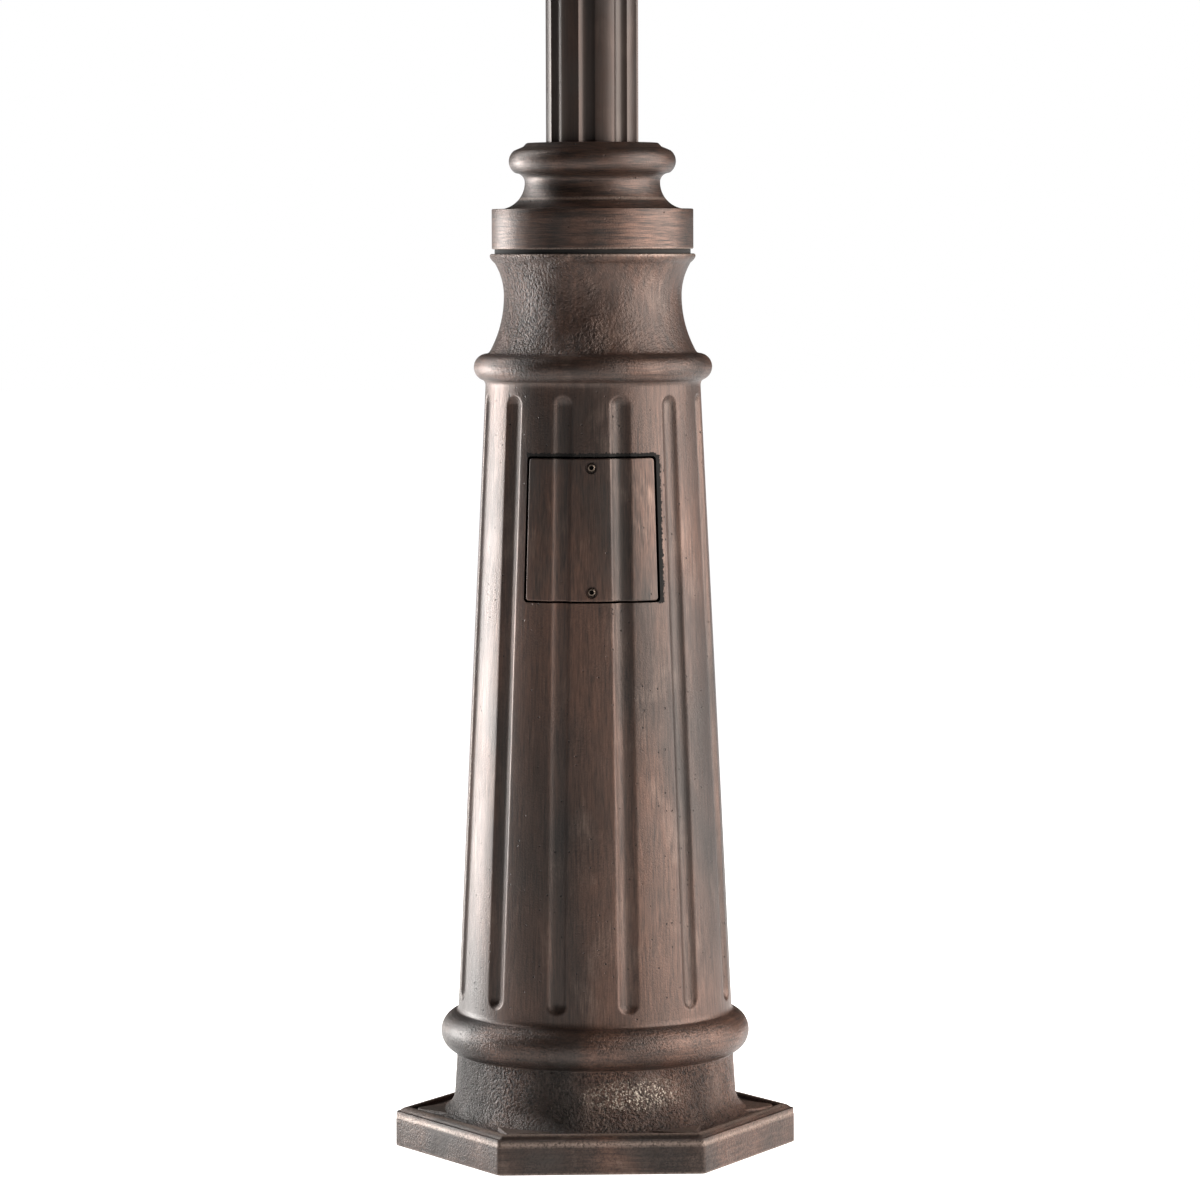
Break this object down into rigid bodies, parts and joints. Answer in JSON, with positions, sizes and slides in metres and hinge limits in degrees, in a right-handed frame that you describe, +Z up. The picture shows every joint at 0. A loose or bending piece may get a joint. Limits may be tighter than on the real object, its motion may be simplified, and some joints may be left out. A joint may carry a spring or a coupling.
{
  "type": "street clock",
  "caption": "Two-face street clock on a fluted post with a cast fluted pedestal, hexagonal foot, access cover and collar; dark aged bronze finish.",
  "frame": {"origin": "centre of the hexagonal foot's underside", "axes": "+Z up the post, the access cover and the front dial face -Y, +X to the viewer's right"},
  "size_m": [0.674, 0.3956, 2.962],
  "materials": {
    "cast_bronze": "aged dark-bronze paint, brushed in streaks over a sand-cast skin",
    "post_bronze": "aged dark-bronze paint over an extruded fluted tube",
    "case_bronze": "dark-bronze paint, satin",
    "galvanised": "hot-dip galvanised",
    "steel": "stainless, slightly dulled",
    "brass": "plain brass",
    "black_plastic": "moulded",
    "cream_plastic": "moulded",
    "rubber": "matt black",
    "cable_jacket": "smooth jacket",
    "led_board": "white board with lamps",
    "dial_opal": "opal sheet, satin",
    "dial_black": "matt black film",
    "hand_black": "satin black paint",
    "clear_glass": "clear"
  },
  "bodies": {
    "post": {"base_casting": "cast_bronze", "base_collar": "cast_bronze", "collar_set_screws": "steel", "anchor_plate": "galvanised", "post_socket": "galvanised", "socket_screws": "steel", "fluted_post": "post_bronze", "wiring_bracket": "steel", "terminal_block": "cream_plastic", "fuse_holder": "black_plastic", "earth_lug": "brass", "cable_grommet": "rubber", "riser_cable": "cable_jacket", "post_capital": "cast_bronze", "capital_set_screws": "steel", "head_saddle": "cast_bronze", "saddle_bolts": "steel", "case_drum": "case_bronze", "latch_keepers": "brass", "finial": "cast_bronze", "finial_stud": "steel", "movement_carrier": "galvanised", "led_strips": "led_board", "led_driver": "black_plastic", "front_dial": "dial_opal", "front_hour_marks": "dial_black", "front_dial_screws": "steel", "front_hinge_pin": "brass", "front_movement_case": "black_plastic", "front_movement_plate": "brass", "front_motor": "steel", "rear_dial": "dial_opal", "rear_hour_marks": "dial_black", "rear_dial_screws": "steel", "rear_hinge_pin": "brass", "rear_movement_case": "black_plastic", "rear_movement_plate": "brass", "rear_motor": "steel"},
    "access_cover": {"access_cover": "cast_bronze", "cover_screws": "steel"},
    "front_bezel": {"front_bezel": "case_bronze", "front_glass": "clear_glass", "front_glass_gasket": "rubber"},
    "front_latch": {"front_latch": "brass"},
    "front_minute": {"front_minute_arbor": "steel", "front_minute_hand": "hand_black", "front_hand_nut": "brass"},
    "front_intermediate": {"front_intermediate_wheel": "brass"},
    "front_hour": {"front_hour_wheel": "brass", "front_hour_hand": "hand_black"},
    "rear_bezel": {"rear_bezel": "case_bronze", "rear_glass": "clear_glass", "rear_glass_gasket": "rubber"},
    "rear_latch": {"rear_latch": "brass"},
    "rear_minute": {"rear_minute_arbor": "steel", "rear_minute_hand": "hand_black", "rear_hand_nut": "brass"},
    "rear_intermediate": {"rear_intermediate_wheel": "brass"},
    "rear_hour": {"rear_hour_wheel": "brass", "rear_hour_hand": "hand_black"}
  },
  "joints": [
    {"name": "cover_lift_off", "type": "slide", "parent": "post", "child": "access_cover", "axis": [0, -1, 0], "range_m": [0, 0.16]},
    {"name": "front_bezel_hinge", "type": "hinge", "parent": "post", "child": "front_bezel", "pos_m": [0.32, -0.091, 2.512], "axis": [0, 0, 1], "range_deg": [0, 110]},
    {"name": "front_latch_turn", "type": "hinge", "parent": "front_bezel", "child": "front_latch", "pos_m": [-0.326, -0.09, 2.512], "axis": [0, 1, 0], "range_deg": [0, 90]},
    {"name": "front_minute_turn", "type": "hinge", "parent": "post", "child": "front_minute", "pos_m": [0, -0.08, 2.512], "axis": [0, 1, 0], "continuous": true},
    {"name": "front_intermediate_turn", "type": "hinge", "parent": "post", "child": "front_intermediate", "pos_m": [0.0375, -0.05, 2.512], "axis": [0, 1, 0], "continuous": true},
    {"name": "front_hour_turn", "type": "hinge", "parent": "post", "child": "front_hour", "pos_m": [0, -0.07, 2.512], "axis": [0, 1, 0], "continuous": true},
    {"name": "rear_bezel_hinge", "type": "hinge", "parent": "post", "child": "rear_bezel", "pos_m": [-0.32, 0.091, 2.512], "axis": [0, 0, 1], "range_deg": [0, 110]},
    {"name": "rear_latch_turn", "type": "hinge", "parent": "rear_bezel", "child": "rear_latch", "pos_m": [0.326, 0.09, 2.512], "axis": [0, -1, 0], "range_deg": [0, 90]},
    {"name": "rear_minute_turn", "type": "hinge", "parent": "post", "child": "rear_minute", "pos_m": [0, 0.08, 2.512], "axis": [0, -1, 0], "continuous": true},
    {"name": "rear_intermediate_turn", "type": "hinge", "parent": "post", "child": "rear_intermediate", "pos_m": [-0.0375, 0.05, 2.512], "axis": [0, -1, 0], "continuous": true},
    {"name": "rear_hour_turn", "type": "hinge", "parent": "post", "child": "rear_hour", "pos_m": [0, 0.07, 2.512], "axis": [0, -1, 0], "continuous": true}
  ],
  "couplings": [
    {"joint": "front_intermediate_turn", "follows": "front_minute_turn", "ratio": -0.33333},
    {"joint": "front_hour_turn", "follows": "front_minute_turn", "ratio": 0.083333},
    {"joint": "rear_intermediate_turn", "follows": "rear_minute_turn", "ratio": -0.33333},
    {"joint": "rear_hour_turn", "follows": "rear_minute_turn", "ratio": 0.083333}
  ]
}
